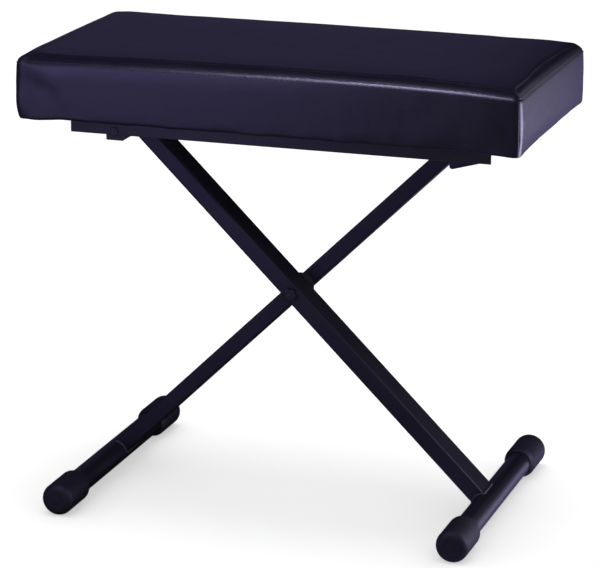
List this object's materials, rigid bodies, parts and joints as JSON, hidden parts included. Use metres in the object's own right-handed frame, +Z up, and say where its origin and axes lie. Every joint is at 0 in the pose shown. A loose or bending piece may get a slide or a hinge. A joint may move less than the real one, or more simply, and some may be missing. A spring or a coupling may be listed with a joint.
{
  "type": "piano bench",
  "caption": "Folding piano bench: padded rectangular seat on crossed steel legs with rubber-capped foot bars, a height rack and a safety latch.",
  "frame": {"origin": "bottom centre of the bounding box: on the floor, under the middle of the seat", "axes": "+X along the seat to the right as seen from the front, +Y from the front to the rear, +Z up"},
  "size_m": [0.6, 0.372, 0.541],
  "materials": {
    "vinyl": "soft-gloss upholstery vinyl with a fine grain",
    "foam": "open-cell foam",
    "plywood": "raw plywood",
    "dust_cloth": "matt non-woven cloth",
    "frame_paint": "satin black powder coat",
    "rubber": "matt moulded rubber",
    "zinc": "zinc plate",
    "black_steel": "black oxide",
    "nylon": "black nylon"
  },
  "bodies": {
    "leg_a": {"leg_a_tube": "frame_paint", "foot_bar_a": "frame_paint", "foot_cap_a_front": "rubber", "foot_cap_a_rear": "rubber", "upper_bar_a": "frame_paint", "pivot_bush_front": "nylon", "pivot_bush_rear": "nylon", "crossing_bolt": "black_steel", "crossing_washer_front": "black_steel", "crossing_washer_rear": "black_steel", "crossing_disc": "nylon", "crossing_nut": "black_steel"},
    "leg_b": {"leg_b_tube": "frame_paint", "foot_bar_b": "frame_paint", "foot_cap_b_front": "rubber", "foot_cap_b_rear": "rubber", "upper_bar_b": "frame_paint", "notch_pin_front": "zinc", "notch_pin_rear": "zinc"},
    "seat": {"seat_cover": "vinyl", "foam_pad": "foam", "seat_board": "plywood", "dust_cloth": "dust_cloth", "rail_front": "frame_paint", "rail_rear": "frame_paint", "rack_front": "zinc", "rack_rear": "zinc", "pivot_pin_front": "frame_paint", "pivot_pin_rear": "frame_paint", "rail_screw_front_1": "zinc", "rail_screw_front_2": "zinc", "rail_screw_front_3": "zinc", "rail_screw_front_4": "zinc", "rail_screw_rear_1": "zinc", "rail_screw_rear_2": "zinc", "rail_screw_rear_3": "zinc", "rail_screw_rear_4": "zinc"},
    "latch": {"latch_rod": "zinc", "latch_plate_front": "frame_paint", "latch_plate_rear": "frame_paint", "latch_spring_front": "zinc", "latch_spring_rear": "zinc", "latch_clip_front": "zinc", "latch_clip_rear": "zinc"}
  },
  "joints": [
    {"name": "scissor", "type": "hinge", "parent": "leg_a", "child": "leg_b", "pos_m": [-0.00125, 0, 0.2561], "axis": [0, 1, 0], "range_deg": [-14.8, 80.8]},
    {"name": "seat_pivot", "type": "hinge", "parent": "leg_a", "child": "seat", "pos_m": [-0.1978, 0, 0.45], "axis": [0, 1, 0], "range_deg": [-7.5, 40.5]},
    {"name": "latch_release", "type": "hinge", "parent": "seat", "child": "latch", "pos_m": [0.244, 0, 0.463], "axis": [0, 1, 0], "range_deg": [0, 15], "stiffness_Nm_per_rad": 0.2, "springref_deg": -17.19}
  ],
  "couplings": [
    {"joint": "seat_pivot", "follows": "scissor", "ratio": 0.5}
  ]
}
